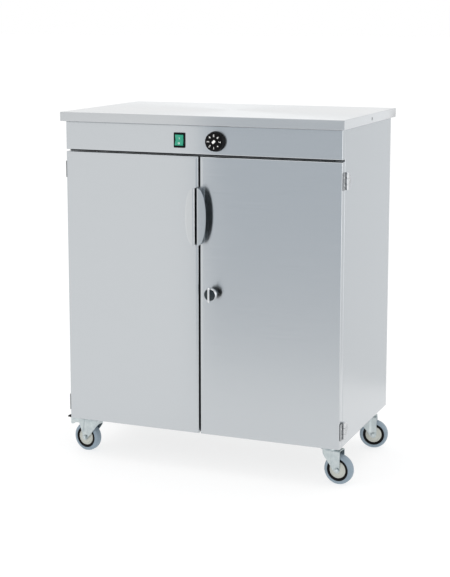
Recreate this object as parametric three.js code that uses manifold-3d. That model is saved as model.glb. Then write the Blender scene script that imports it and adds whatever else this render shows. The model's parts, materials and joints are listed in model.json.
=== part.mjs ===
// A mobile heated proofing cabinet: a stainless steel body on four swivel casters, two hinged
// doors, a control fascia under a folded worktop, and a chamber with racks, shelves and a heater.
// Units are millimetres, +Z is up, the front faces -Y, and the origin is on the floor under the middle
// of the whole, with its brake pedals and door handles. The pieces are laid out about the worktop's
// middle, and CENTRING then moves them all.
import * as THREE from "three";
import { mergeVertices } from "three/addons/utils/BufferGeometryUtils.js";
import Module from "manifold-3d";

const wasm = await Module();
wasm.setup();

// ---- Driving dimensions ----

const GAP = 0.3; // clearance between pieces that touch on the real object
const SHEET = 1.5; // thickness of the outer sheet metal
const THIN_SHEET = 1.2; // thickness of the inner sheet metal

const CENTRING = { x: 10, y: -3 }; // the pedals reach out on the left, the handles at the front
const BODY = { halfWidth: 367, front: -178, back: 225, bottom: 103, top: 881 };
const WORKTOP = { halfWidth: 375, front: -214, back: 241, thick: 23.5, lip: 18 };
const FLANGE = 25; // width of the side panels' folded flanges
const CHAMBER = { halfWidth: 340, front: -176, back: 205, floor: 130, ceiling: 780 };

const DOOR = { front: -199, thick: 19.5, bottom: 103, top: 804, halfGap: 2.5, edge: 366.5 };
const FASCIA = { bottom: 809, switchX: -51.5, dialX: 45, controlsZ: 842.5 };

const HINGE = { x: 371.5, y: -177, height: 42, barrel: 3.8, pin: 1.9, leaf: 1.8, centres: [758, 146] };
const HANDLE = { height: 142, depth: 25, reach: 24, thick: 1.8, centreZ: 657.5 };
const LOCK = { x: 39, z: 467, disc: 16.3, reach: 30, finHeight: 39, finWidth: 4.6, camLength: 55 };
const DIAL = { radius: 25, faceRadius: 23, depth: 15 };
const BEZEL = { width: 30, height: 37.4, proud: 3.2, opening: [22.8, 28.2] };
const GLAND = { x: -285, z: 842.5, thread: 8, nut: 12 };
const PROBE = { x: 90, y: 150, bulbZ: 769, bulbRadius: 3 };

const SHELF = { levels: [300, 450, 600], halfWidth: 334, front: -156, back: 198, rod: 6, wire: 3 };
const HEATER = { rod: 4, height: 144, guardTop: 168, guardHalfWidth: 215, guardFront: -110, guardBack: 190 };
const PAN = { halfLength: 162.5, halfWidth: 88, height: 40, corner: 22, rim: 8, centreY: 40 };

const CASTER = {
  x: 324, frontY: -139, backY: 165, // swivel axes
  trail: 26, wheelRadius: 37.5, wheelWidth: 23, rimRadius: 27,
  plate: 60, plateThick: 2.5, plateTop: 102.7, cupBottom: 94,
  legInner: 14.2, legThick: 2.2, axleRadius: 4,
};
// How far each caster is turned about its swivel, in degrees, from trailing towards +X.
const CASTERS = [
  { name: "front_left", x: -CASTER.x, y: CASTER.frontY, turn: 171, braked: true },
  { name: "front_right", x: CASTER.x, y: CASTER.frontY, turn: -7.5, braked: false },
  { name: "rear_left", x: -CASTER.x, y: CASTER.backY, turn: 186, braked: true },
  { name: "rear_right", x: CASTER.x, y: CASTER.backY, turn: 11, braked: false },
];
const PEDAL = { pivotX: 40, pivotZ: 83, length: 32, toe: 43, wall: 1.4, halfWidth: 13.7 };

// ---- Materials ----

function material(color, roughness, metalness) {
  return new THREE.MeshStandardMaterial({ color, roughness, metalness });
}
const STEEL = material(0xc8cbce, 0.35, 1);
const INNER_STEEL = material(0xb9bcbf, 0.45, 1);
const ZINC = material(0xc2cacb, 0.4, 1);
const CHROME = material(0xd8dadd, 0.1, 1);
const HEATER_STEEL = material(0x5c5a57, 0.55, 0.8);
const BLACK_PLASTIC = material(0x151515, 0.4, 0);
const GREEN_PLASTIC = material(0x28aa8c, 0.25, 0);
const GASKET = material(0x2a2a2c, 0.8, 0);
const GREY_RUBBER = material(0x8a99a5, 0.7, 0);
const RACK_STEEL = material(0xc4c6c8, 0.3, 1);

// ---- Solids ----

function solid(geometry) {
  geometry.deleteAttribute("normal");
  geometry.deleteAttribute("uv");
  const merged = mergeVertices(geometry, 1e-4);
  return new wasm.Manifold(new wasm.Mesh({
    numProp: 3,
    vertProperties: new Float32Array(merged.attributes.position.array),
    triVerts: new Uint32Array(merged.index.array),
  }));
}

function geometryOf(body) {
  const mesh = body.getMesh();
  const geometry = new THREE.BufferGeometry();
  geometry.setAttribute("position", new THREE.BufferAttribute(new Float32Array(mesh.vertProperties), 3));
  geometry.setIndex(new THREE.BufferAttribute(new Uint32Array(mesh.triVerts), 1));
  const flat = geometry.toNonIndexed();
  flat.computeVertexNormals();
  return flat;
}

const join = (...bodies) => bodies.reduce((whole, body) => whole.add(body));
const cut = (body, ...tools) => tools.reduce((rest, tool) => rest.subtract(tool), body);

// A box between two values on each axis, given in either order.
function box([x0, x1], [y0, y1], [z0, z1]) {
  const geometry = new THREE.BoxGeometry(Math.abs(x1 - x0), Math.abs(y1 - y0), Math.abs(z1 - z0));
  return solid(geometry.translate((x0 + x1) / 2, (y0 + y1) / 2, (z0 + z1) / 2));
}

// A cylinder along "x", "y" or "z", from one value to another on that axis, centred on the other two.
function rod(axis, from, to, [a, b], radius, sides = 24, endRadius = radius) {
  const geometry = new THREE.CylinderGeometry(endRadius, radius, to - from, sides);
  const middle = (from + to) / 2;
  if (axis === "x") geometry.rotateZ(-Math.PI / 2).translate(middle, a, b);
  if (axis === "y") geometry.translate(a, middle, b);
  if (axis === "z") geometry.rotateX(Math.PI / 2).translate(a, b, middle);
  return solid(geometry);
}

// An outline in the XY plane carried from z0 to z1.
function raise(shape, z0, z1) {
  const settings = { depth: z1 - z0, bevelEnabled: false, curveSegments: 6 };
  const geometry = new THREE.ExtrudeGeometry(shape, settings);
  return solid(geometry.translate(0, 0, z0));
}

// An outline in the XZ plane carried along Y, from front to back.
function raiseAlongY(shape, front, back) {
  const settings = { depth: back - front, bevelEnabled: false, curveSegments: 6 };
  const geometry = new THREE.ExtrudeGeometry(shape, settings);
  return solid(geometry.rotateX(Math.PI / 2).translate(0, back, 0));
}

// An outline whose first axis is Y and second is Z, carried along X.
function raiseAlongX(shape, x0, x1) {
  const settings = { depth: x1 - x0, bevelEnabled: false, curveSegments: 6 };
  const geometry = new THREE.ExtrudeGeometry(shape, settings);
  return solid(geometry.rotateX(Math.PI / 2).rotateZ(Math.PI / 2).translate(x0, 0, 0));
}

function polygon(points) {
  return new THREE.Shape(points.map(([a, b]) => new THREE.Vector2(a, b)));
}

function roundedRectangle(halfX, halfY, radius) {
  const shape = new THREE.Shape();
  shape.moveTo(-halfX + radius, -halfY);
  shape.absarc(halfX - radius, -halfY + radius, radius, -Math.PI / 2, 0);
  shape.absarc(halfX - radius, halfY - radius, radius, 0, Math.PI / 2);
  shape.absarc(-halfX + radius, halfY - radius, radius, Math.PI / 2, Math.PI);
  shape.absarc(-halfX + radius, -halfY + radius, radius, Math.PI, Math.PI * 1.5);
  return shape;
}

// A round tube through a list of points.
function tube(points, radius, sides, steps) {
  const path = new THREE.CatmullRomCurve3(points.map((p) => new THREE.Vector3(...p)), false, "centripetal");
  const section = new THREE.Shape().absarc(0, 0, radius, 0, Math.PI * 2);
  return solid(new THREE.ExtrudeGeometry(section, {
    steps, extrudePath: path, bevelEnabled: false, curveSegments: sides / 2,
  }));
}

const cabinet = new THREE.Group();
cabinet.position.set(CENTRING.x, CENTRING.y, 0);

function place(name, body, look, parent = cabinet) {
  const mesh = new THREE.Mesh(geometryOf(body), look);
  mesh.name = name;
  parent.add(mesh);
  return mesh;
}

// ---- Worktop and carcass ----

// A folded tray, open below inside its lips.
function worktop() {
  const { halfWidth: w, front, back, thick, lip } = WORKTOP;
  const [low, high] = [BODY.top, BODY.top + thick];
  return cut(
    box([-w, w], [front, back], [low, high]),
    box([-w + SHEET, w - SHEET], [front + SHEET, back - SHEET], [low + SHEET, high - SHEET]),
    box([-w + lip, w - lip], [front + lip, back - lip], [low - 1, low + SHEET + 1]),
  );
}

// One outer side: a skin with a flange folded inwards on all four edges.
function sidePanel(side) {
  const { halfWidth: w, front, back, bottom, top } = BODY;
  const inner = w - FLANGE;
  return cut(
    box([side * inner, side * w], [front, back], [bottom, top - GAP]),
    box([side * (inner - 1), side * (w - SHEET)],
      [front + SHEET, back - 3.5], [bottom + SHEET, top - GAP - SHEET]),
    box([side * (inner - 1), side * (w - SHEET)], [back - 2, back + 1], [bottom - 1, top]),
  );
}

// The outer back, with a row of vent slots for the control space and a hole for the cable gland.
function backPanel() {
  const halfWidth = BODY.halfWidth - SHEET - GAP;
  const vents = [-2.5, -1.5, -0.5, 0.5, 1.5, 2.5].map((n) =>
    box([n * 34 - 12, n * 34 + 12],
      [BODY.back - 4, BODY.back + 1], [FASCIA.controlsZ - 3, FASCIA.controlsZ + 3]));
  return cut(
    box([-halfWidth, halfWidth],
      [BODY.back - SHEET, BODY.back - 0.1], [BODY.bottom + GAP, BODY.top - 2 * GAP]),
    ...vents,
    rod("y", BODY.back - 4, BODY.back + 1, [GLAND.x, GLAND.z], GLAND.thread + GAP),
  );
}

// The floor of the chamber and its skirts, with returns below that the casters bolt to.
function basePan() {
  const halfWidth = BODY.halfWidth - FLANGE - GAP;
  const [front, back, low, high] = [BODY.front, BODY.back - 2 * SHEET - 1, BODY.bottom, CHAMBER.floor];
  const returnWidth = 85;
  return raiseAlongX(polygon([
    [front, low], [front + returnWidth, low], [front + returnWidth, low + SHEET],
    [front + SHEET, low + SHEET], [front + SHEET, high - SHEET],
    [back - SHEET, high - SHEET], [back - SHEET, low + SHEET],
    [back - returnWidth, low + SHEET], [back - returnWidth, low], [back, low],
    [back, high], [front, high],
  ]), -halfWidth, halfWidth);
}

function linerSide(side) {
  const inner = CHAMBER.halfWidth;
  return box([side * inner, side * (inner + THIN_SHEET)],
    [CHAMBER.front, CHAMBER.back], [CHAMBER.floor + GAP, CHAMBER.ceiling - GAP]);
}

function linerBack() {
  const halfWidth = CHAMBER.halfWidth + THIN_SHEET;
  const front = CHAMBER.back + GAP;
  return box([-halfWidth, halfWidth],
    [front, front + THIN_SHEET], [CHAMBER.floor + GAP, CHAMBER.ceiling - GAP]);
}

// The chamber's ceiling, folded up at the front behind the fascia, with a hole for the probe.
function linerCeiling() {
  const halfWidth = BODY.halfWidth - FLANGE - GAP;
  const [low, back] = [CHAMBER.ceiling, CHAMBER.back + 2 * THIN_SHEET];
  return cut(
    join(
      box([-halfWidth, halfWidth], [BODY.front, back], [low, low + THIN_SHEET]),
      box([-halfWidth, halfWidth], [BODY.front, BODY.front + THIN_SHEET], [low, FASCIA.bottom + 4]),
    ),
    rod("z", low - 1, low + 3, [PROBE.x, PROBE.y], 5, 12),
  );
}

// The control fascia: a pan open at the back, with cut-outs for the switch and the dial's shaft.
function controlFascia() {
  const [w, front, back] = [DOOR.edge, DOOR.front, BODY.front - GAP];
  const [low, high] = [FASCIA.bottom, BODY.top - GAP];
  const { switchX, dialX, controlsZ } = FASCIA;
  return cut(
    box([-w, w], [front, back], [low, high]),
    box([-w + SHEET, w - SHEET], [front + SHEET, back + 1], [low + SHEET, high - SHEET]),
    box([switchX - 13, switchX + 13], [front - 1, front + 3], [controlsZ - 16, controlsZ + 16]),
    rod("y", front - 1, front + 3, [dialX, controlsZ], 5, 16),
  );
}

// ---- Controls ----

// The switch's frame and its housing behind the fascia, open at the front for the rocker.
function switchBezel() {
  const { switchX: x, controlsZ: z } = FASCIA;
  const front = DOOR.front;
  const [openX, openZ] = [BEZEL.opening[0] / 2, BEZEL.opening[1] / 2];
  return cut(
    join(
      box([x - BEZEL.width / 2, x + BEZEL.width / 2], [front - BEZEL.proud, front - GAP],
        [z - BEZEL.height / 2, z + BEZEL.height / 2]),
      box([x - 12.6, x + 12.6], [front - GAP - 0.1, front + 24], [z - 15.6, z + 15.6]),
      box([x - 8, x - 5], [front + 23, front + 32], [z - 3, z + 3]),
      box([x + 5, x + 8], [front + 23, front + 32], [z - 3, z + 3]),
    ),
    box([x - openX, x + openX], [front - BEZEL.proud - 1, front + 6], [z - openZ, z + openZ]),
  );
}

// The rocker, with a shallow V across its face and a round back that turns on the switch's pivot.
function rocker() {
  const half = BEZEL.opening[1] / 2 - 0.9;
  const profile = new THREE.Shape();
  profile.moveTo(-5.2, half);
  profile.lineTo(-1.4, 0);
  profile.lineTo(-5.2, -half);
  profile.lineTo(-0.6, -half);
  profile.quadraticCurveTo(3.4, -6, 3.4, 0);
  profile.quadraticCurveTo(3.4, 6, -0.6, half);
  const halfWidth = BEZEL.opening[0] / 2 - 0.6;
  return raiseAlongX(profile, -halfWidth, halfWidth);
}

// The thermostat behind the fascia: case, shaft, and the capillary that runs to its bulb in the chamber.
function thermostat() {
  const { dialX: x, controlsZ: z } = FASCIA;
  const front = DOOR.front + SHEET + 1;
  return join(
    box([x - 19, x + 19], [front, front + 32], [z - 22, z + 22]),
    rod("y", DOOR.front - 9, front + 1, [x, z], 3, 12),
    tube([
      [x + 17, front + 30, z - 18], [x + 24, front + 60, z - 24], [x + 36, 0, z - 30],
      [PROBE.x, PROBE.y - 40, z - 36], [PROBE.x, PROBE.y - 6, z - 44], [PROBE.x, PROBE.y, z - 56],
      [PROBE.x, PROBE.y, CHAMBER.ceiling - 2], [PROBE.x, PROBE.y + 2, PROBE.bulbZ + 2],
    ], 1.6, 6, 30),
    rod("x", PROBE.x - 5, PROBE.x + 75, [PROBE.y + 2, PROBE.bulbZ], PROBE.bulbRadius, 10),
  );
}

// The dial's knob: a tapered grip with shallow flutes round it and a socket for the shaft.
function dialKnob() {
  const turn = Math.PI * 2;
  const flutes = Array.from({ length: 18 }, (_, n) => {
    const angle = (turn * (n + 0.5)) / 18;
    return rod("y", -DIAL.depth - 1, -3, [26.6 * Math.cos(angle), 26.6 * Math.sin(angle)], 2.6, 6);
  });
  return cut(
    join(
      rod("y", -DIAL.depth, -GAP, [0, 0], DIAL.faceRadius, 36, DIAL.radius),
      rod("y", -DIAL.depth - 0.8, -DIAL.depth + 1, [0, 0], DIAL.faceRadius - 2, 36, DIAL.faceRadius - 1),
    ),
    ...flutes,
    rod("y", -10, 1, [0, 0], 3 + GAP, 16),
  );
}

function cableGland() {
  const { x, z, thread, nut } = GLAND;
  const back = BODY.back;
  return join(
    rod("y", back - 9, back + 4, [x, z], thread, 20),
    rod("y", back + GAP, back + 5, [x, z], nut, 6),
    rod("y", back + 4.9, back + 13, [x, z], 10, 20, 9),
    rod("y", back + 12.9, back + 16, [x, z], 9, 20, 5),
    rod("y", back - 9, back - 4, [x, z], nut, 6),
  );
}

// ---- Chamber fittings ----

// A hairpin element that comes in through the chamber's back, with two feet that hold it off the floor.
function heatingElement() {
  const { rod: radius, height: z } = HEATER;
  const back = CHAMBER.back - 3;
  const foot = (x, y) => box([x - 2, x + 2], [y - 6, y + 6], [CHAMBER.floor + GAP, z - radius + 1]);
  const hairpin = tube([
    [-120, back, z], [-120, 60, z], [-120, -40, z], [-108, -78, z], [-70, -92, z], [-32, -78, z],
    [-20, -40, z], [-20, 60, z], [-10, 96, z], [0, 100, z], [10, 96, z], [20, 60, z],
    [20, -40, z], [32, -78, z], [70, -92, z], [108, -78, z], [120, -40, z], [120, 60, z], [120, back, z],
  ], radius, 8, 52);
  return join(hairpin, foot(-120, 40), foot(120, 40), foot(-20, 20), foot(20, 20));
}

// A slotted sheet bridge over the element, which also carries the water pan.
function heaterGuard() {
  const { guardTop: top, guardHalfWidth: w, guardFront: front, guardBack: back } = HEATER;
  const slots = [-3, -2, -1, 0, 1, 2, 3].flatMap((n) => [
    box([n * 52 - 16, n * 52 + 16], [front + 15, front + 30], [top - 5, top + 5]),
    box([n * 52 - 16, n * 52 + 16], [back - 30, back - 15], [top - 5, top + 5]),
  ]);
  return cut(
    box([-w, w], [front, back], [CHAMBER.floor + GAP, top]),
    box([-w + THIN_SHEET, w - THIN_SHEET], [front - 1, back + 1], [CHAMBER.floor - 1, top - THIN_SHEET]),
    ...slots,
  );
}

function waterPan() {
  const { halfLength, halfWidth, height, corner, rim, centreY } = PAN;
  const low = HEATER.guardTop + GAP;
  const wall = 1;
  const body = cut(
    join(
      raise(roundedRectangle(halfLength - rim, halfWidth - rim, corner - rim), low, low + height),
      raise(roundedRectangle(halfLength, halfWidth, corner), low + height - wall, low + height),
    ),
    raise(roundedRectangle(halfLength - rim - wall, halfWidth - rim - wall, corner - rim - wall),
      low + wall, low + height + 1),
  );
  return body.translate(0, centreY, 0);
}

// One side's rack: two uprights and an angle rail under each shelf.
function rack(side) {
  const outer = CHAMBER.halfWidth - GAP;
  const inner = outer - 3;
  const [low, high] = [CHAMBER.floor + 40, CHAMBER.ceiling - 30];
  const upright = (y) => box([side * inner, side * outer], [y - 10, y + 10], [low, high]);
  const rails = SHELF.levels.map((z) => join(
    box([side * (inner - 14), side * (inner + 1)], [-150, 188], [z - 1.5, z]),
    box([side * (inner - 1.5), side * (inner + 1)], [-150, 188], [z - 14, z]),
  ));
  return join(upright(-130), upright(168), ...rails);
}

// A wire shelf: two long rods, two end rods and cross wires on top.
function shelf(level) {
  const { halfWidth: w, front, back, rod: thick, wire } = SHELF;
  const low = level + GAP;
  const frame = cut(
    box([-w, w], [front, back], [low, low + thick]),
    box([-w + thick, w - thick], [front + thick, back - thick], [low - 1, low + thick + 1]),
  );
  const count = 15;
  const pitch = (2 * w) / (count + 1);
  const wires = Array.from({ length: count }, (_, n) => {
    const x = -w + (n + 1) * pitch;
    return box([x - wire / 2, x + wire / 2],
      [front + 1, back - 1], [low + thick - 1, low + thick - 1 + wire]);
  });
  return join(frame, ...wires);
}

// A double magnetic catch under the front of the ceiling, one pole for each door.
function magnetCatch() {
  const top = CHAMBER.ceiling - GAP;
  return cut(
    box([-28, 28], [BODY.front + GAP, BODY.front + 15], [top - 14, top]),
    box([-3, 3], [BODY.front - 1, BODY.front + 3], [top - 15, top + 1]),
  );
}

// ---- Hinges ----

// Half of a hinge in its own frame, with the pin's axis on Z and the door's side towards -Y.
// The body's half has the outer knuckles and the pin; the door's half has the middle knuckle.
function hingeHalf(side, forBody) {
  const { height, barrel, pin, leaf, x } = HINGE;
  const half = height / 2;
  const inner = BODY.halfWidth + GAP - x; // the leaf's inner face, beside the panel
  const third = height / 6;
  const knuckle = (from, to) => rod("z", from, to, [0, 0], barrel, 14);
  if (forBody) {
    const outline = new THREE.Shape();
    outline.moveTo(0.6, -half);
    outline.absellipse(0.6, 0, 37, half, -Math.PI / 2, Math.PI / 2);
    const plate = raiseAlongX(outline, Math.min(side * inner, side * (inner + leaf)),
      Math.max(side * inner, side * (inner + leaf)));
    const window = box([-9, 9], [-5, barrel + 0.6], [-third - GAP, third + GAP]);
    return join(cut(join(plate, knuckle(-half, half)), window), rod("z", -half, half, [0, 0], pin, 10));
  }
  const plate = box([side * inner, side * (inner + leaf)], [-20.5, -0.4], [-half, half]);
  const ends = (sign) => box([-9, 9], [-barrel - 0.6, 9], [sign * (third - GAP), sign * (half + 1)]);
  return cut(join(plate, knuckle(-third + GAP, third - GAP)), ends(1), ends(-1),
    rod("z", -half - 1, half + 1, [0, 0], pin + GAP, 10));
}

// ---- Doors ----

// Everything here is drawn in the cabinet's frame and then moved to the hinge's frame,
// so that turning a door's group opens the door.
function doorSkin(side) {
  const { front, thick, bottom, top, halfGap, edge } = DOOR;
  const back = front + thick;
  const skin = cut(
    box([side * halfGap, side * edge], [front, back], [bottom, top]),
    box([side * (halfGap + SHEET), side * (edge - SHEET)],
      [front + SHEET, back + 1], [bottom + SHEET, top - SHEET]),
  );
  return side > 0 ? cut(skin, rod("y", front - 1, front + 3, [LOCK.x, LOCK.z], 5.5, 16)) : skin;
}

function doorLiner(side) {
  const { front, thick, bottom, top, halfGap, edge } = DOOR;
  const back = front + thick - 0.8;
  const inset = SHEET + GAP;
  const liner = cut(
    box([side * (halfGap + inset), side * (edge - inset)], [back - 12, back], [bottom + inset, top - inset]),
    box([side * (halfGap + inset + THIN_SHEET), side * (edge - inset - THIN_SHEET)],
      [back - 13, back - THIN_SHEET],
      [bottom + inset + THIN_SHEET, top - inset - THIN_SHEET]),
  );
  return side > 0 ? cut(liner, rod("y", back - 3, back + 1, [LOCK.x, LOCK.z], 5.5, 16)) : liner;
}

function doorGasket(side) {
  const { front, thick, bottom, top, halfGap, edge } = DOOR;
  const [near, far] = [front + thick - 0.8 + GAP, BODY.front - GAP];
  const [inset, width] = [5, 11];
  return cut(
    box([side * (halfGap + inset), side * (edge - inset)], [near, far], [bottom + inset, top - inset]),
    box([side * (halfGap + inset + width), side * (edge - inset - width)], [near - 1, far + 1],
      [bottom + inset + width, top - inset - width]),
  );
}

// A bent plate: a web stands forward from the door's meeting edge and a half-moon grip turns outwards.
function doorHandle(side) {
  const { height, depth, reach, thick, centreZ } = HANDLE;
  const [inner, base, tip] = [DOOR.halfGap, DOOR.front - GAP, DOOR.front - reach];
  const bend = 3.5;
  const outline = new THREE.Shape();
  outline.moveTo(side * inner, base);
  outline.lineTo(side * inner, tip + bend);
  outline.quadraticCurveTo(side * inner, tip, side * (inner + bend), tip);
  outline.lineTo(side * (inner + depth), tip);
  outline.lineTo(side * (inner + depth), tip + thick);
  outline.lineTo(side * (inner + bend), tip + thick);
  outline.quadraticCurveTo(side * (inner + thick), tip + thick, side * (inner + thick), tip + bend);
  outline.lineTo(side * (inner + thick), base);
  const folded = raise(outline, centreZ - height / 2, centreZ + height / 2);
  const halfMoon = new THREE.Shape();
  const steps = 16;
  halfMoon.moveTo(side * (inner - 1), centreZ - height / 2);
  for (let n = 0; n <= steps; n++) {
    const angle = -Math.PI / 2 + (Math.PI * n) / steps;
    const round = Math.cos(angle) ** 0.9; // a little squarer than an ellipse
    halfMoon.lineTo(side * (inner + thick * 0.8 + (depth - thick * 0.8) * round),
      centreZ + (height / 2) * Math.sin(angle));
  }
  halfMoon.lineTo(side * (inner - 1), centreZ + height / 2);
  return folded.intersect(raiseAlongY(halfMoon, tip - 5, base + 5));
}

// ---- Lock ----

// Drawn about the lock's own axis, which runs along Y: a disc with a grip fin, and a spindle.
function lockKnob() {
  const { disc, reach, finHeight, finWidth } = LOCK;
  const half = finHeight / 2;
  return join(
    rod("y", -18, -GAP, [0, 0], 9, 20, 11),
    rod("y", -reach + 4, -17.5, [0, 0], disc - 1.5, 32, disc),
    rod("y", -reach, -reach + 4.1, [0, 0], disc - 4, 32, disc - 1.5),
    box([-finWidth / 2, finWidth / 2], [-reach - 6, -reach + 6], [-half + 2, half - 2]),
    box([-finWidth / 2, finWidth / 2], [-reach - 4, -reach + 6], [-half, half]),
    rod("y", -1, 22, [0, 0], 4.6, 16),
  );
}

function lockCam() {
  return cut(
    join(
      box([-8, 8], [DOOR.thick + 3.6, DOOR.thick + 6], [0, LOCK.camLength - 8]),
      rod("y", DOOR.thick + 3.6, DOOR.thick + 6, [0, 0], 8, 20),
      rod("y", DOOR.thick + 3.6, DOOR.thick + 6, [0, LOCK.camLength - 8], 8, 20),
    ),
    rod("y", DOOR.thick, DOOR.thick + 9, [0, 0], 4.6 + GAP, 16),
  );
}

// ---- Casters: drawn with the swivel axis on Z, the floor at zero and the wheel trailing along +X ----

function casterPlate() {
  const { plate, plateThick, plateTop, cupBottom } = CASTER;
  const hole = (x, y) => rod("z", plateTop - 4, plateTop + 1, [x * 22, y * 22], 3.3, 8);
  return cut(
    join(
      raise(roundedRectangle(plate / 2, plate / 2, 6), plateTop - plateThick, plateTop),
      rod("z", cupBottom, plateTop - plateThick + 0.1, [0, 0], 21, 20, 17),
    ),
    hole(-1, -1), hole(-1, 1), hole(1, -1), hole(1, 1),
  );
}

// The crown, two legs that narrow to the axle, and the axle bolt with its head and nut.
// A braked caster's legs have ears at the top for the pedal's pivot.
function casterFork(braked) {
  const { trail, wheelRadius, legInner, legThick, axleRadius, cupBottom } = CASTER;
  const top = cupBottom - 0.5;
  const legTop = top - 6;
  const leg = new THREE.Shape();
  leg.moveTo(-17, legTop);
  leg.lineTo(trail - 7, wheelRadius - 3.5);
  leg.absarc(trail, wheelRadius, 8, Math.PI * 1.18, Math.PI * 2);
  leg.lineTo(trail + 8, legTop);
  const ear = polygon([[trail, legTop], [trail + 7.5, 46], [PEDAL.pivotX + 1, 68], [PEDAL.pivotX + 5.5, 80],
    [PEDAL.pivotX + 5.5, legTop]]);
  const outer = legInner + legThick;
  const crown = roundedRectangle(25.5, outer, 12);
  const crownAt = new THREE.Shape(crown.getPoints(8).map((p) => p.add(new THREE.Vector2(8.5, 0))));
  const fork = join(
    raiseAlongY(leg, -outer, -legInner),
    raiseAlongY(leg, legInner, outer),
    raise(crownAt, top - 8.5, top - 5.5),
    rod("z", top - 6, top, [0, 0], 24, 20, 21.5),
    rod("y", -outer - 4, outer + 4, [trail, wheelRadius], axleRadius, 10),
    rod("y", -outer - 4, -outer + 0.1, [trail, wheelRadius], 6.4, 6),
    rod("y", outer - 0.1, outer + 4, [trail, wheelRadius], 6.4, 6),
  );
  return braked ? join(fork, raiseAlongY(ear, -outer, -legInner), raiseAlongY(ear, legInner, outer)) : fork;
}

function lathe(points, segments) {
  return solid(new THREE.LatheGeometry(points.map(([r, h]) => new THREE.Vector2(r, h)), segments));
}

// The tyre and the wheel's centre are drawn about the axle, which runs along Y.
function tyre() {
  const { wheelRadius: r, rimRadius: rim, wheelWidth } = CASTER;
  const w = wheelWidth / 2;
  return lathe([
    [rim, -w], [r - 5, -w], [r - 1.6, -w + 2.8], [r, -w + 8],
    [r, w - 8], [r - 1.6, w - 2.8], [r - 5, w], [rim, w], [rim, -w],
  ], 28);
}

function wheelCentre() {
  const { rimRadius, wheelWidth, axleRadius } = CASTER;
  const [rim, w, bore] = [rimRadius - GAP, wheelWidth / 2, axleRadius + GAP];
  return lathe([
    [bore, -w - 2], [9, -w - 2], [20, -w + 1.5], [rim, -w + 3],
    [rim, w - 3], [20, w - 1.5], [9, w + 2], [bore, w + 2], [bore, -w - 2],
  ], 24);
}

// The brake's lever, drawn about its pivot: a channel that straddles the wheel, and a toe plate that rises.
function brakePedal() {
  const { length, toe, wall, halfWidth } = PEDAL;
  const side = new THREE.Shape();
  side.moveTo(-3.6, -4);
  side.lineTo(2, -8.6);
  side.lineTo(16, -9);
  side.lineTo(length - 8, -14.5);
  side.lineTo(length - 4, -15);
  side.quadraticCurveTo(length, -15, length, -11);
  side.lineTo(length, 5);
  side.lineTo(-3.6, 2);
  const inside = halfWidth - wall;
  const channel = cut(
    raiseAlongY(side, -halfWidth, halfWidth),
    raiseAlongY(polygon([[-5, -20], [length + 1, -20], [length + 1, 2.6], [-5, -0.6]]), -inside, inside),
  );
  const toePlate = raiseAlongY(polygon([
    [length - 8, 3.2], [length + 1, 1.5], [toe, 2], [toe, 5], [length + 2, 9.4], [length - 8, 7],
  ]), -halfWidth, halfWidth);
  return join(channel, toePlate, rod("y", -halfWidth, halfWidth, [0, 0], 3.4, 12));
}

// ---- Assembly ----

place("worktop", worktop(), STEEL);
place("left_side_panel", sidePanel(-1), STEEL);
place("right_side_panel", sidePanel(1), STEEL);
place("back_panel", backPanel(), STEEL);
place("base_pan", basePan(), STEEL);
place("control_fascia", controlFascia(), STEEL);
place("liner_left", linerSide(-1), INNER_STEEL);
place("liner_right", linerSide(1), INNER_STEEL);
place("liner_back", linerBack(), INNER_STEEL);
place("liner_ceiling", linerCeiling(), INNER_STEEL);
place("thermostat", thermostat(), ZINC);
place("switch_bezel", switchBezel(), BLACK_PLASTIC);
place("cable_gland", cableGland(), BLACK_PLASTIC);
place("heating_element", heatingElement(), HEATER_STEEL);
place("heater_guard", heaterGuard(), INNER_STEEL);
place("water_pan", waterPan(), INNER_STEEL);
place("rack_left", rack(-1), RACK_STEEL);
place("rack_right", rack(1), RACK_STEEL);
["lower", "middle", "upper"].forEach((name, n) => place(name + "_shelf", shelf(SHELF.levels[n]), RACK_STEEL));
place("magnet_catch", magnetCatch(), BLACK_PLASTIC);

const rockerTilt = THREE.MathUtils.degToRad(-5);
const rockerMesh = place("rocker_switch", rocker(), GREEN_PLASTIC);
rockerMesh.position.set(FASCIA.switchX, DOOR.front, FASCIA.controlsZ);
rockerMesh.rotation.x = rockerTilt;

place("dial_knob", dialKnob(), BLACK_PLASTIC).position.set(FASCIA.dialX, DOOR.front, FASCIA.controlsZ);

for (const [sideName, side] of [["left", -1], ["right", 1]]) {
  const door = new THREE.Group();
  door.position.set(side * HINGE.x, HINGE.y, 0);
  cabinet.add(door);
  const pieces = [["skin", doorSkin, STEEL], ["liner", doorLiner, INNER_STEEL],
    ["gasket", doorGasket, GASKET], ["handle", doorHandle, STEEL]];
  for (const [name, make, look] of pieces) {
    place(`${sideName}_door_${name}`, make(side), look, door).position.set(-side * HINGE.x, -HINGE.y, 0);
  }
  HINGE.centres.forEach((z, n) => {
    const where = `${sideName}_${["upper", "lower"][n]}_hinge`;
    place(`${where}_door_leaf`, hingeHalf(side, false), ZINC, door).position.z = z;
    place(`${where}_body_leaf`, hingeHalf(side, true), ZINC).position.set(side * HINGE.x, HINGE.y, z);
  });
  if (side > 0) {
    const lock = new THREE.Group();
    lock.position.set(LOCK.x - HINGE.x, DOOR.front - HINGE.y, LOCK.z);
    door.add(lock);
    place("lock_knob", lockKnob(), CHROME, lock);
    place("lock_cam", lockCam(), ZINC, lock);
  }
}

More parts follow.
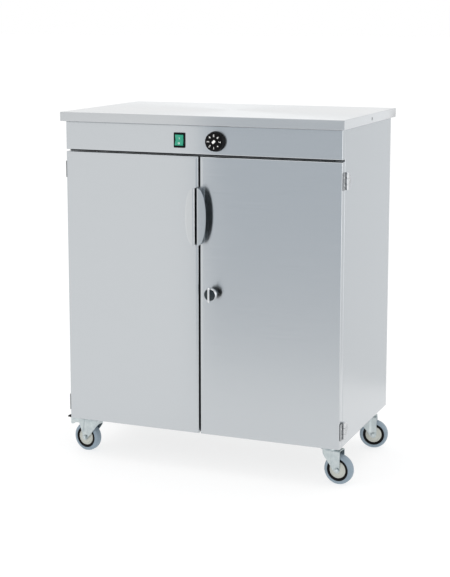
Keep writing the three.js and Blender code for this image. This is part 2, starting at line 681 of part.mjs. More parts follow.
for (const { name, x, y, turn, braked } of CASTERS) {
  place(`${name}_caster_plate`, casterPlate(), ZINC).position.set(x, y, 0);
  const fork = new THREE.Group();
  fork.position.set(x, y, 0);
  fork.rotation.z = THREE.MathUtils.degToRad(turn);
  cabinet.add(fork);
  place(`${name}_caster_fork`, casterFork(braked), ZINC, fork);
  const wheel = new THREE.Group();
  wheel.position.set(CASTER.trail, 0, CASTER.wheelRadius);
  fork.add(wheel);
  place(`${name}_tyre`, tyre(), GREY_RUBBER, wheel);
  place(`${name}_wheel_centre`, wheelCentre(), BLACK_PLASTIC, wheel);
  if (braked) {
    place(`${name}_brake_pedal`, brakePedal(), ZINC, fork).position.set(PEDAL.pivotX, 0, PEDAL.pivotZ);
  }
}

export default cabinet;
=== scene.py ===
"""The looks of a mobile heated proofing cabinet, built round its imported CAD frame.

Shapes are made in millimetres along the frame's own axes (the doors face -Y, +Z is up). Each one is
scaled to metres and centred when it becomes a piece.
"""
import json
from math import atan2, cos, hypot, pi, radians, sin, sqrt

import bmesh
import bpy
from mathutils import Matrix, Vector


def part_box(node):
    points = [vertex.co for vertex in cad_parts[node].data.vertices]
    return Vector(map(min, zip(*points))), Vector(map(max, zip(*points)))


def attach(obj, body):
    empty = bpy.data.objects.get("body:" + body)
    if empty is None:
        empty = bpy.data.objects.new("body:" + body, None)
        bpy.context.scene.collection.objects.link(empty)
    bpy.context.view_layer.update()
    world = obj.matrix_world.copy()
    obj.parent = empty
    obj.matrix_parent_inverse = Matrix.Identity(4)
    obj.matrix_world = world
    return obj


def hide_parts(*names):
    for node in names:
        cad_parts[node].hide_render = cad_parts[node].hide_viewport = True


MM = 0.001

SHEET = 1.5  # outer sheet metal
THIN_SHEET = 1.2  # inner sheet metal
BEND = 1.6  # reach of a fold
WIDE_BEND = 3.0  # reach of the folds round the doors and the body

# Shapes are laid out about the worktop's middle. The frame's origin is under the middle of the whole,
# with its pedals and handles, so each shape moves by this much when it becomes a piece.
CENTRING = Vector((10, -3, 0))

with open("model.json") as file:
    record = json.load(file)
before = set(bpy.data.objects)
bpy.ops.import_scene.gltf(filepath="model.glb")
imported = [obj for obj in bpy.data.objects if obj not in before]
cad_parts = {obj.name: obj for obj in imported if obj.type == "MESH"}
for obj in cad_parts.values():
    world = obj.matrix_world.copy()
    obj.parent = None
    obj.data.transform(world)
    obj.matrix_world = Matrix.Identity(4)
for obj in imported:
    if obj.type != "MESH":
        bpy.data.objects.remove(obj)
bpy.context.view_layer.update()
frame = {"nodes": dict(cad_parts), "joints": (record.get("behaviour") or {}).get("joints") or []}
joints = {j["name"]: j for j in frame["joints"]}


def box(node):
    """A CAD node's lowest and highest corners, in millimetres."""
    low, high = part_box(node)
    return low / MM - CENTRING, high / MM - CENTRING


def pivot(joint):
    """A joint's point, in millimetres."""
    return Vector(joints[joint]["pos_m"]) / MM - CENTRING


def mesh_of(bm, name="part"):
    """A bmesh turned into a mesh of Blender's."""
    mesh = bpy.data.meshes.new(name)
    bm.to_mesh(mesh)
    bm.free()
    return mesh


def in_scene(name, data):
    """A new object in the scene."""
    obj = bpy.data.objects.new(name, data)
    bpy.context.scene.collection.objects.link(obj)
    return obj


def baked(obj):
    """The bmesh that an object comes to with its modifiers."""
    mesh = bpy.data.meshes.new_from_object(obj.evaluated_get(bpy.context.evaluated_depsgraph_get()))
    bm = bmesh.new()
    bm.from_mesh(mesh)
    bpy.data.meshes.remove(mesh)
    return bm


# ---- Mesh making: each function returns a bmesh in millimetres ----


def loft(rings, wrap=False, closed=True, caps=False):
    """A surface through rings of points; wrap joins the last ring to the first, and caps fills both ends."""
    bm = bmesh.new()
    rows = [[bm.verts.new(p) for p in ring] for ring in rings]
    pairs = list(zip(rows, rows[1:]))
    if wrap:
        pairs.append((rows[-1], rows[0]))
    count = len(rows[0])
    for a, b in pairs:
        for i in range(count if closed else count - 1):
            j = (i + 1) % count
            bm.faces.new((a[i], a[j], b[j], b[i]))
    if caps:
        bm.faces.new(rows[0])
        bm.faces.new(rows[-1])
    bmesh.ops.remove_doubles(bm, verts=bm.verts, dist=1e-4)
    bmesh.ops.recalc_face_normals(bm, faces=bm.faces)
    return bm


def circle(radius, count, height=0.0):
    turns = [2 * pi * i / count for i in range(count)]
    return [(radius * cos(t), radius * sin(t), height) for t in turns]


def lathe(profile, count=48):
    """A profile of (radius, height) turned about Z. One that doesn't start on the axis closes on itself."""
    rings = [circle(max(r, 1e-6), count, h) for r, h in profile]
    return loft(rings, wrap=profile[0][0] > 0)


def both_ways(half):
    """A profile of (radius, height) made whole by its reflection below. half goes down from the top."""
    return [(r, -h) for r, h in half] + half[::-1]


def rod(radius, low, high, count=24):
    """A plain round bar about Z, between two heights."""
    return lathe([(0, low), (radius, low), (radius, high), (0, high)], count)


def rounded(half_x, half_y, radius, steps=4):
    """The points of a rounded rectangle about the origin, anticlockwise."""
    radius = min(radius, half_x, half_y)
    points = []
    for corner, (sx, sy) in enumerate(((1, 1), (-1, 1), (-1, -1), (1, -1))):
        x, y = sx * (half_x - radius), sy * (half_y - radius)
        for t in (pi / 2 * (corner + i / steps) for i in range(steps + 1)):
            points.append((x + radius * cos(t), y + radius * sin(t)))
    return points


def filleted(points, radius, steps=3):
    """A line of 2D points with its inner corners rounded."""
    line = [Vector(p) for p in points]
    out = [line[0]]
    for before, corner, after in zip(line, line[1:], line[2:]):
        a, b = (before - corner), (after - corner)
        reach = min(radius, a.length / 2, b.length / 2)
        start, end = corner + a.normalized() * reach, corner + b.normalized() * reach
        for i in range(steps + 1):
            t = i / steps
            out.append(start * (1 - t) ** 2 + corner * 2 * t * (1 - t) + end * t ** 2)
    out.append(line[-1])
    return out


def plate(outline, low, high, bevel=0.0):
    """A closed outline in XY carried from one height to another, with its edges bevelled."""
    bm = loft([[(x, y, h) for x, y in outline] for h in (low, high)], caps=True)
    return softened(bm, bevel) if bevel else bm


def block(low, high, bevel=0.0):
    """A box between two corners, given in any order, with its edges rounded."""
    size = [abs(b - a) for a, b in zip(low, high)]
    middle = [(a + b) / 2 for a, b in zip(low, high)]
    bm = bmesh.new()
    bmesh.ops.create_cube(bm, size=1, matrix=Matrix.Translation(middle) @ Matrix.Diagonal((*size, 1)))
    if bevel:
        bmesh.ops.bevel(bm, geom=bm.edges[:], offset=bevel, segments=2, profile=0.5, affect="EDGES")
    return bm


def tube(points, radius, count=12, closed=False):
    """A round rod through points, with flat ends."""
    path = [Vector(p) for p in points]
    last = len(path) - 1
    rings, side = [], None
    for i, p in enumerate(path):
        ahead = path[(i + 1) % len(path)] if closed or i < last else p
        behind = path[i - 1] if closed or i > 0 else p
        along = (ahead - behind).normalized()
        if side is None:
            side = along.orthogonal().normalized()
        side = (side - along * side.dot(along)).normalized()
        up = along.cross(side)
        turns = [2 * pi * k / count for k in range(count)]
        rings.append([p + (side * cos(t) + up * sin(t)) * radius for t in turns])
    return loft(rings, wrap=closed, caps=not closed)


def smooth_path(points, steps=6):
    """Points of a Catmull-Rom curve through a list of points."""
    p = [Vector(q) for q in points]
    p = [p[0] * 2 - p[1], *p, p[-1] * 2 - p[-2]]
    out = []
    for a, b, c, d in zip(p, p[1:], p[2:], p[3:]):
        for i in range(steps):
            t = i / steps
            out.append(0.5 * (
                2 * b + (c - a) * t + (2 * a - 5 * b + 4 * c - d) * t ** 2 + (3 * b - a - 3 * c + d) * t ** 3
            ))
    out.append(p[-2])
    return out


def together(*parts):
    """Several meshes as one."""
    whole = bmesh.new()
    for part in parts:
        mesh = mesh_of(part)
        whole.from_mesh(mesh)
        bpy.data.meshes.remove(mesh)
    return whole


def flipped(bm, wrong):
    """The mesh turned inside out, if it is the wrong way round."""
    if wrong:
        bmesh.ops.reverse_faces(bm, faces=bm.faces)
    return bm


def moved(bm, matrix):
    bm.transform(matrix)
    return flipped(bm, matrix.determinant() < 0)


def painted(bm, slot):
    """Every face in the piece's material of that number."""
    for face in bm.faces:
        face.material_index = slot
    return bm


def discard(obj):
    mesh = obj.data
    bpy.data.objects.remove(obj)
    bpy.data.meshes.remove(mesh)


def modified(bm, kind, **settings):
    """The mesh with one modifier applied."""
    obj = in_scene("part", mesh_of(bm))
    modifier = obj.modifiers.new("change", kind)
    for key, value in settings.items():
        setattr(modifier, key, value)
    result = baked(obj)
    discard(obj)
    return result


def softened(bm, width, segments=2, angle=40):
    """The mesh with its sharp edges bevelled."""
    return modified(bm, "BEVEL", width=width, segments=segments, limit_method="ANGLE",
                    angle_limit=radians(angle), use_clamp_overlap=True)


def thickened(bm, thickness, inner_slot=0):
    """A surface turned into sheet metal, which grows behind its face. inner_slot is the back's material."""
    return modified(bm, "SOLIDIFY", thickness=thickness, offset=-1, use_even_offset=True,
                    material_offset=inner_slot)


def end_filled(bm, count):
    """Closes a loft's last ring, of so many points, and returns the new face."""
    bm.verts.ensure_lookup_table()
    face = bm.faces.new(bm.verts[-count:])
    bmesh.ops.recalc_face_normals(bm, faces=bm.faces)
    return face


def facing_up(bm):
    """An open surface, turned over if its largest face looks down."""
    return flipped(bm, max(bm.faces, key=lambda f: f.calc_area()).normal.z < 0)


def cut(bm, *cutters):
    """A closed mesh less the cutters."""
    tool = in_scene("part", mesh_of(together(*cutters)))
    result = modified(bm, "BOOLEAN", object=tool, operation="DIFFERENCE", solver="EXACT", use_self=True)
    discard(tool)
    return result


def stamped(low, high, face, profile, bend=BEND, corner=1.0, steps=3):
    """An open pan inside a box. face is the side its flat looks to, such as "-Y", and profile is a line of
    (distance in from the box's edge, depth behind the flat), from the free edge to the flat's middle."""
    axis = "XYZ".index(face[1])
    u, v = [n for n in range(3) if n != axis]
    outwards = 1 if face[0] == "+" else -1
    flat = high[axis] if outwards > 0 else low[axis]
    half_u, half_v = (high[u] - low[u]) / 2, (high[v] - low[v]) / 2
    rings = []
    for inset, depth in filleted(profile, bend, steps):
        ring = []
        for a, b in rounded(half_u - inset, half_v - inset, max(corner - inset, 0.4), steps=3):
            point = [0.0, 0.0, 0.0]
            point[u] = (high[u] + low[u]) / 2 + a
            point[v] = (high[v] + low[v]) / 2 + b
            point[axis] = flat - outwards * depth
            ring.append(point)
        rings.append(ring)
    bm = loft(rings)
    middle = end_filled(bm, len(rings[0]))
    middle.normal_update()
    return flipped(bm, middle.normal[axis] * outwards < 0)


def outer_skin(low, high, face):
    """A folded pan of the outer sheet metal, with the wide folds of the doors and the body."""
    axis = "XYZ".index(face[1])
    depth = high[axis] - low[axis]
    return thickened(stamped(low, high, face, [(0, depth), (0, 0), (8, 0)], WIDE_BEND, steps=5), SHEET)


# ---- Pieces ----


def piece(name, bm, looks, slot, *replaces, body="cabinet"):
    """Turns a mesh into a piece that rides on a CAD body, in place of the nodes it replaces. looks is
    its material, or a list of them."""
    bm.transform(Matrix.Scale(MM, 4) @ Matrix.Translation(CENTRING))
    mesh = mesh_of(bm, name)
    for look in looks if isinstance(looks, list) else [looks]:
        mesh.materials.append(look)
    mesh.shade_smooth()
    mesh.set_sharp_from_angle(angle=radians(35))
    obj = in_scene(name, mesh)
    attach(obj, body)
    if replaces:
        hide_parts(*replaces)


FACING = {  # turns local +Z to a direction
    "-Y": Matrix.Rotation(pi / 2, 4, "X"),
    "+Y": Matrix.Rotation(-pi / 2, 4, "X"),
    "+X": Matrix.Rotation(pi / 2, 4, "Y"),
    "-X": Matrix.Rotation(-pi / 2, 4, "Y"),
    "-Z": Matrix.Rotation(pi, 4, "X"),
    "+Z": Matrix.Identity(4),
}


def at(point, facing="+Z", turn=0.0):
    """A place on the cabinet: a point, the way local +Z looks, and a turn about it in degrees."""
    return Matrix.Translation(point) @ FACING[facing] @ Matrix.Rotation(radians(turn), 4, "Z")


# ---- Materials ----


def material(name, color, roughness, metallic=0.0, **sockets):
    """A Principled material. Sockets are named with underscores for spaces."""
    made = bpy.data.materials.new(name)
    made.use_nodes = True
    sockets = {"Base_Color": (*color, 1), "Roughness": roughness, "Metallic": metallic, **sockets}
    for key, value in sockets.items():
        shader_of(made).inputs[key.replace("_", " ")].default_value = value
    made.diffuse_color = (*color, 1)
    return made


def shader_of(made):
    return made.node_tree.nodes["Principled BSDF"]


def noise(made, scale, stretch=(1, 1, 1), **settings):
    """Noise in the piece's own coordinates, with repeats per metre, as the socket of its value."""
    nodes, links = made.node_tree.nodes, made.node_tree.links
    place = nodes.new("ShaderNodeTexCoord")
    mapping = nodes.new("ShaderNodeMapping")
    mapping.inputs["Scale"].default_value = [scale * s for s in stretch]
    texture = nodes.new("ShaderNodeTexNoise")
    texture.inputs["Scale"].default_value = 1
    for key, value in settings.items():
        texture.inputs[key].default_value = value
    links.new(place.outputs["Object"], mapping.inputs["Vector"])
    links.new(mapping.outputs["Vector"], texture.inputs["Vector"])
    return texture.outputs[0]


def ranged(made, value, low, high, from_low=0.3, from_high=0.7):
    """A value carried from one range to another."""
    node = made.node_tree.nodes.new("ShaderNodeMapRange")
    ends = {"From Min": from_low, "From Max": from_high, "To Min": low, "To Max": high}
    for key, end in ends.items():
        node.inputs[key].default_value = end
    made.node_tree.links.new(value, node.inputs["Value"])
    return node.outputs["Result"]


def vary_roughness(made, value, low, high):
    made.node_tree.links.new(ranged(made, value, low, high), shader_of(made).inputs["Roughness"])


def mix_colors(made, factor, low, high, socket):
    """A colour of the shader, from low to high as the factor goes from 0 to 1."""
    mix = made.node_tree.nodes.new("ShaderNodeMix")
    mix.data_type = "RGBA"
    mix.inputs["A"].default_value = (*low, 1)
    mix.inputs["B"].default_value = (*high, 1)
    made.node_tree.links.new(factor, mix.inputs["Factor"])
    made.node_tree.links.new(mix.outputs["Result"], shader_of(made).inputs[socket])


def vary_color(made, value, low, high):
    """The base colour between two colours as a value goes from 0.3 to 0.7."""
    mix_colors(made, ranged(made, value, 0, 1), low, high, "Base Color")


def add_bump(made, value, distance, strength=1.0):
    """Raises the surface by up to a distance in millimetres."""
    bump = made.node_tree.nodes.new("ShaderNodeBump")
    bump.inputs["Distance"].default_value = distance * MM
    bump.inputs["Strength"].default_value = strength
    made.node_tree.links.new(value, bump.inputs["Height"])
    made.node_tree.links.new(bump.outputs["Normal"], shader_of(made).inputs["Normal"])


def brushed(name, color, roughness=0.21, anisotropy=0.85, spread=0.02):
    """Stainless steel brushed round Z: long fine streaks in its colour and roughness, and reflections
    that spread at right angles to them."""
    made = material(name, color, roughness, 1.0, Anisotropic=anisotropy, Anisotropic_Rotation=0.25)
    tangent = made.node_tree.nodes.new("ShaderNodeTangent")
    tangent.direction_type = "RADIAL"
    tangent.axis = "Z"
    made.node_tree.links.new(tangent.outputs["Tangent"], shader_of(made).inputs["Tangent"])
    streaks = noise(made, 12, (1, 1, 60), Detail=4.0, Roughness=0.6)
    vary_roughness(made, streaks, roughness - spread, roughness + spread)
    vary_color(made, streaks, [c * 0.985 for c in color], [min(1, c * 1.015) for c in color])
    add_bump(made, streaks, 0.003, 0.2)
    return made


def plated(name, low, high, roughness=0.34):
    """Zinc or nickel plate: cloudy in colour and gloss, between two colours."""
    made = material(name, [(a + b) / 2 for a, b in zip(low, high)], roughness, 1.0)
    cloud = noise(made, 90, Detail=3.0)
    vary_roughness(made, cloud, roughness - 0.06, roughness + 0.08)
    vary_color(made, cloud, low, high)
    add_bump(made, noise(made, 900, Detail=2.0), 0.01, 0.4)
    return made


def moulded(name, color, roughness, grain=0.015, **sockets):
    """Moulded plastic or rubber: a faint spark-eroded texture and slightly uneven gloss."""
    made = material(name, color, roughness, **sockets)
    vary_roughness(made, noise(made, 160, Detail=2.0), roughness - 0.06, roughness + 0.08)
    add_bump(made, noise(made, 1600, Detail=2.0), grain, 0.5)
    return made


def heat_tinted():
    made = material("heater_sheath", (0.2, 0.18, 0.16), 0.5, 1.0)
    bands = noise(made, 14, Detail=2.0)
    vary_color(made, bands, (0.10, 0.09, 0.10), (0.30, 0.24, 0.19))
    vary_roughness(made, noise(made, 240, Detail=3.0), 0.42, 0.62)
    return made


STEEL = brushed("brushed_steel", (0.548, 0.572, 0.592))
TOP_STEEL = brushed("worktop_steel", (0.560, 0.578, 0.592), 0.34, 0.8, 0.03)
# A lighter copy of the worktop steel: a painted highlight on the worktop's top and ends.
WORKTOP_PAINTED_HIGHLIGHT_STEEL = brushed("worktop_painted_highlight_steel", (0.755, 0.77, 0.78), 0.34, 0.8, 0.03)
# Copies of the door steel for the grips: the left one lighter, a painted highlight, and the right one darker,
# painted shade.
GRIP_STEEL_PAINTED_LIGHT_AND_SHADE = {
    "left": brushed("left_grip_painted_highlight_steel", (0.60, 0.617, 0.627)),
    "right": brushed("right_grip_painted_shade_steel", (0.48, 0.508, 0.53)),
}
INNER_STEEL = brushed("inner_steel", (0.52, 0.535, 0.545), 0.36, 0.5, 0.05)
CHROME = material("rack_chrome", (0.78, 0.79, 0.80), 0.16, 1.0)
vary_roughness(CHROME, noise(CHROME, 120, Detail=3.0), 0.12, 0.22)
# A near black copy of the chrome: a painted dark reflection on the lock knob's front face.
LOCK_FACE_PAINTED_REFLECTION = material("lock_face_painted_reflection", (0.045, 0.055, 0.06), 0.2, 1.0)
vary_roughness(LOCK_FACE_PAINTED_REFLECTION, noise(LOCK_FACE_PAINTED_REFLECTION, 300, Detail=2.0), 0.16, 0.24)
ZINC = plated("zinc", (0.46, 0.52, 0.535), (0.60, 0.65, 0.655))
NICKEL = plated("hinge_nickel", (0.56, 0.57, 0.585), (0.64, 0.65, 0.66), 0.3)
# A darker copy of the nickel: painted shade on the hinges' door leaves and the worktop's end screws.
SHADED_NICKEL = plated("painted_shade_nickel", (0.33, 0.34, 0.35), (0.42, 0.43, 0.44), 0.42)
BLACK = moulded("black_plastic", (0.003, 0.003, 0.0033), 0.4, Specular_IOR_Level=0.12)
GREEN = moulded("green_plastic", (0.012, 0.34, 0.21), 0.22, 0.004, Coat_Weight=0.3, Coat_Roughness=0.08)
WHITE = moulded("white_print", (0.92, 0.92, 0.90), 0.45, 0.004)
RUBBER = moulded("grey_rubber", (0.255, 0.325, 0.385), 0.55, 0.03)
SEAL = moulded("gasket", (0.03, 0.03, 0.032), 0.6, 0.03)
GUARD = moulded("thread_guard", (0.52, 0.535, 0.49), 0.38, 0.01)
# Brown-black painted shade for the grips' undersides, which the doors also show in reflection.
GRIP_UNDERSIDE_PAINTED_SHADE = moulded("grip_underside_painted_shade", (0.12, 0.062, 0.032), 0.6, 0.02, Specular_IOR_Level=0.02)
HEATER = heat_tinted()
# Near black painted shade for the bottoms of the screws' cross recesses.
RECESS_PAINTED_SHADE = moulded("screw_recess_painted_shade", (0.05, 0.05, 0.05), 0.5, 0.004)


SIDES = (("left", -1), ("right", 1))  # and the way each one lies along X
SHELVES = ("lower", "middle", "upper")
HALF_TURN = [pi * k / 12 for k in range(13)]


# ---- Fasteners ----


def screw(radius, height=None):
    """A domed cross-head screw that stands on local Z = 0."""
    height = height or radius * 0.55
    turns = [pi / 2 * i / 6 for i in range(7)]
    dome = [(radius * sin(pi / 2 - t), height * sin(t)) for t in turns]
    head = lathe([(0, -0.4), (radius, -0.4), *dome], 24)
    arm, width = radius * 0.55, radius * 0.2
    cross = [block((-a, -b, height * 0.3), (a, b, height + 1))
             for a, b in ((arm, width / 2), (width / 2, arm))]
    head = cut(head, *cross)
    # A small cone at the bottom of the cross takes the second material: painted shade in the recess.
    bore = painted(lathe([(0, height * 0.25), (width * 0.9, height * 0.25), (0, height * 0.45)], 8), 1)
    return together(head, bore)


def hexagon(radius, height, washer=0.0):
    """A bolt head or nut with a chamfered top, on a washer, standing on local Z = 0."""
    sides = [circle(radius * k, 6, h) for k, h in ((1, 0), (1, height - 0.7), (0.88, height))]
    head = loft(sides, caps=True)
    if not washer:
        return head
    disc = lathe([(0, -0.2), (washer, -0.2), (washer, 0.7), (washer - 0.4, 1.0), (0, 1.0)], 32)
    return together(head, disc)


def scattered(make, places):
    """Copies of one fastener, each at its own place."""
    return together(*(moved(make(), place) for place in places))


# ---- Worktop and carcass ----


def worktop():
    low, high = box("worktop")
    depth, lip = high.z - low.z, 18
    tray = thickened(stamped(low, high, "+Z", [(lip, depth), (0, depth), (0, 0), (6, 0)]), SHEET)
    # The top and the two ends take the lighter copy of the steel, a painted highlight.
    for face in tray.faces:
        face.normal_update()
        if face.normal.z > 0.8 or abs(face.normal.x) > 0.8:
            face.material_index = 1
    piece("worktop_tray", tray, [TOP_STEEL, WORKTOP_PAINTED_HIGHLIGHT_STEEL], "brushed_steel", "worktop")
    y, z = 15.7, low.z + depth * 0.47  # of the end screws, a little behind the middle
    places = [at((low.x, y, z), "-X"), at((high.x, y, z), "+X")]
    screws = scattered(lambda: screw(4.4, 1.2), places)
    piece("worktop_screws", screws, [SHADED_NICKEL, RECESS_PAINTED_SHADE], "zinc")


def side_panels():
    back_cover = 1.9  # the back cover lies on the panels' rear flanges
    for name, face in (("left", "-X"), ("right", "+X")):
        low, high = box(f"{name}_side_panel")
        high.y -= back_cover
        skin = outer_skin(low, high, face)
        piece(f"{name}_side_skin", skin, STEEL, "brushed_steel", f"{name}_side_panel")


def back_cover():
    low, high = box("back_panel")
    gland = box("cable_gland")
    gland_at = (gland[0] + gland[1]) / 2
    controls_z = pivot("dial_turn").z
    slot = rounded(12, 3, 3, 5)
    vents = [moved(plate(slot, -5, 5), at((34 * (n - 2.5), high.y, controls_z), "+Y"))
             for n in range(6)]
    hole = moved(rod(8.3, -5, 5, 32), at((gland_at.x, high.y, gland_at.z), "+Y"))
    edge = 1.2
    sheet = block((low.x - edge, high.y - 1.4, low.z), (high.x + edge, high.y, high.z), 0.35)
    piece("back_sheet", cut(sheet, *vents, hole), STEEL, "brushed_steel", "back_panel")
    inset = 11
    columns = [low.x + inset + (high.x - low.x - 2 * inset) * k / 3 for k in range(4)]
    rows = [low.z + inset + (high.z - low.z - 2 * inset) * k / 5 for k in range(6)]
    spots = [(x, z) for x in columns for z in (rows[0], rows[-1])]
    spots += [(x, z) for x in (columns[0], columns[-1]) for z in rows[1:-1]]
    places = [at((x, high.y, z), "+Y", 20 * i) for i, (x, z) in enumerate(spots)]
    piece("back_screws", scattered(lambda: screw(3.6, 1.5), places), [ZINC, RECESS_PAINTED_SHADE], "zinc")


def fascia():
    low, high = box("control_fascia")
    skin = outer_skin(low, high, "-Y")
    dial, rocker = pivot("dial_turn"), pivot("rocker_tilt")
    window = block((rocker.x - 13, low.y - 2, rocker.z - 16), (rocker.x + 13, low.y + 4, rocker.z + 16))
    hole = moved(rod(5, -5, 5), at((dial.x, low.y, dial.z), "-Y"))
    piece("fascia_skin", cut(skin, window, hole), STEEL, "brushed_steel", "control_fascia")


def frame_seal():
    """A black strip on the body's front, behind the gap above the doors: a seal, which also stands in for
    painted shade in the gap.
    """
    low, high = box("control_fascia")
    door_top = box("left_door_skin")[1].z
    near, far = high.y - 0.6, high.y + 0.2
    strip = block((low.x + 1, near, door_top + 0.6), (high.x - 1, far, low.z - 0.2), 0.2)
    piece("frame_seal", strip, SEAL, "gasket")


def carcass():
    """The CAD nodes that stay as they are, in better materials."""
    for node in ("base_pan", "liner_left", "liner_right", "liner_back", "liner_ceiling", "thermostat"):
        looks = frame["nodes"][node].data.materials
        looks.clear()
        looks.append(ZINC if node == "thermostat" else INNER_STEEL)


def cable_gland():
    low, high = box("cable_gland")
    centre = (low + high) / 2
    back = box("back_panel")[1].y
    dome = lathe([
        (0, -9), (8, -9), (8, 5), (10.2, 5), (10.4, 6), (10.4, 9), (9.6, 12.5), (8.2, 15), (6.4, 16), (5, 16),
        (4.4, 15), (4.2, 11), (0, 11),
    ], 48)
    turns = [at((0, 0, 0), turn=a) for a in range(0, 360, 30)]
    ribs = scattered(lambda: block((9.8, -0.7, 5.6), (10.9, 0.7, 11), 0.3), turns)
    nuts = [moved(hexagon(12, 4.6), at((0, 0, height))) for height in (0.3, -8.8)]
    whole = moved(together(dome, ribs, *nuts), at((centre.x, back, centre.z), "+Y"))
    piece("gland_body", whole, BLACK, "black_plastic", "cable_gland")


# ---- Controls ----


def switch():
    low, high = box("switch_bezel")
    front = box("control_fascia")[0].y
    centre = pivot("rocker_tilt")
    half_x, half_z, proud = (high.x - low.x) / 2, (high.z - low.z) / 2, front - low.y
    open_x, open_z = 11.4, 14.1
    rings = [
        (half_x - 1.6, half_z - 1.6, 1.2, 0), (half_x, half_z, 1.8, 0), (half_x, half_z, 1.8, proud - 1.1),
        (half_x - 0.4, half_z - 0.4, 1.6, proud - 0.3), (half_x - 1.1, half_z - 1.1, 1.2, proud),
        (open_x + 0.5, open_z + 0.5, 0.8, proud), (open_x, open_z, 0.6, proud - 0.5),
        (open_x, open_z, 0.6, -6), (open_x + 1.2, open_z + 1.2, 0.6, -6),
        (open_x + 1.2, open_z + 1.2, 0.6, 0),
    ]
    frame_ring = loft([[(x, y, h) for x, y in rounded(a, b, r)] for a, b, r, h in rings], wrap=True)
    housing = block((-12.6, -15.6, -24), (12.6, 15.6, -6.2), 0.6)
    tags = [block((x - 1.5, -3, -32), (x + 1.5, 3, -24)) for x in (-6.5, 6.5)]
    whole = moved(together(frame_ring, housing, *tags), at((centre.x, front, centre.z), "-Y"))
    piece("switch_frame", whole, BLACK, "black_plastic", "switch_bezel")


def lettering(text, size, depth=0.3, bold=0.0):
    """Raised text centred on the origin, its face along +Z."""
    curve = bpy.data.curves.new("text", "FONT")
    curve.body, curve.size, curve.extrude = text, size, depth / 2
    curve.align_x, curve.align_y = "CENTER", "CENTER"
    curve.offset = bold
    obj = in_scene("text", curve)
    bm = baked(obj)
    bpy.data.objects.remove(obj)
    bpy.data.curves.remove(curve)
    return bm


def rocker():
    """A shallow V across the face, with a mark for on at the top and for off at the bottom."""
    centre = pivot("rocker_tilt")
    half_x, half_z, crest, valley = 10.8, 13.2, 5.2, 1.4
    corners = [(-half_z, 0.6), (-half_z, crest), (0, valley), (half_z, crest), (half_z, 0.6)]
    profile = filleted(corners, 0.9, 4)
    back = [(half_z * cos(t), -3.4 * sin(t)) for t in HALF_TURN]
    outline = [*profile, *back[1:-1]]
    body = softened(loft([[(x, a, h) for a, h in outline] for x in (-half_x, half_x)], caps=True), 0.4)
    lean = atan2(crest - valley, half_z)
    marks = []
    for sign, mark, share in ((1, "I", 0.3), (-1, "O", 0.62)):
        on_face = at((0, sign * half_z * share, valley + (crest - valley) * share + 0.1))
        slope = Matrix.Rotation(sign * lean, 4, "X")
        marks.append(painted(moved(lettering(mark, 6.4, bold=0.15), on_face @ slope), 1))
    off = Matrix.Rotation(radians(-5), 4, "X")  # the rocker leans 5 degrees when it is off
    place = Matrix.Translation(centre) @ off @ FACING["-Y"]
    piece("rocker_cap", moved(together(body, *marks), place), [GREEN, WHITE], "green_plastic",
          "rocker_switch", body="rocker")


def dial():
    """A fluted knob on a skirt, with numbers round its face and a grip bar with a white inlay."""
    centre = pivot("dial_turn")
    depth, skirt, face = 15, 25, 23
    profile = [(0, 0.3), (skirt - 0.6, 0.3), (skirt, 0.9), (skirt - 0.1, 2.6), (skirt - 0.8, 3.2),
               (face + 1, 3.4), (face + 0.9, 4.2), (face + 0.4, depth - 1.4), (face - 0.2, depth - 0.4),
               (face - 1.2, depth), (face - 2.6, depth), (face - 3.2, depth - 0.5), (0, depth - 0.5)]
    knob = lathe(profile, 216)
    flutes, start = 18, 3.3  # the flutes start a little above the skirt
    for vertex in knob.verts:
        x, y, h = vertex.co
        if hypot(x, y) > face - 2 and h > start:
            wave = abs(cos(flutes / 2 * atan2(y, x))) ** 10
            inwards = 0.03 * wave * min(1, (h - start) / 1.5)
            vertex.co.x *= 1 - inwards
            vertex.co.y *= 1 - inwards
    pointer = 42  # degrees from local +X, where the grip bar points
    bar = plate(rounded(11.5, 3.6, 3.4, 6), depth - 1, depth + 0.75, 0.5)
    inlay = painted(plate(rounded(4.6, 3.0, 0.8), depth + 0.4, depth + 0.8, 0.15), 1)
    grip = moved(together(bar, inlay), at((0, 0, 0), turn=pointer))
    marks = []
    for n in range(8):
        spot = at((0, 0, 0), turn=-45 - 45 * n) @ at((0.64 * face, 0, depth - 0.45))
        if n == 0:
            mark = rod(1.5, -0.1, 0.1, 20)
        else:
            mark = moved(lettering(str(n), 8.2, 0.24, 0.12), at((0, 0, 0), turn=-90))
        marks.append(painted(moved(mark, spot), 1))
    whole = moved(together(knob, grip, *marks), at(centre, "-Y"))
    piece("dial_face", whole, [BLACK, WHITE], "black_plastic", "dial_knob", body="dial")


# ---- Doors ----


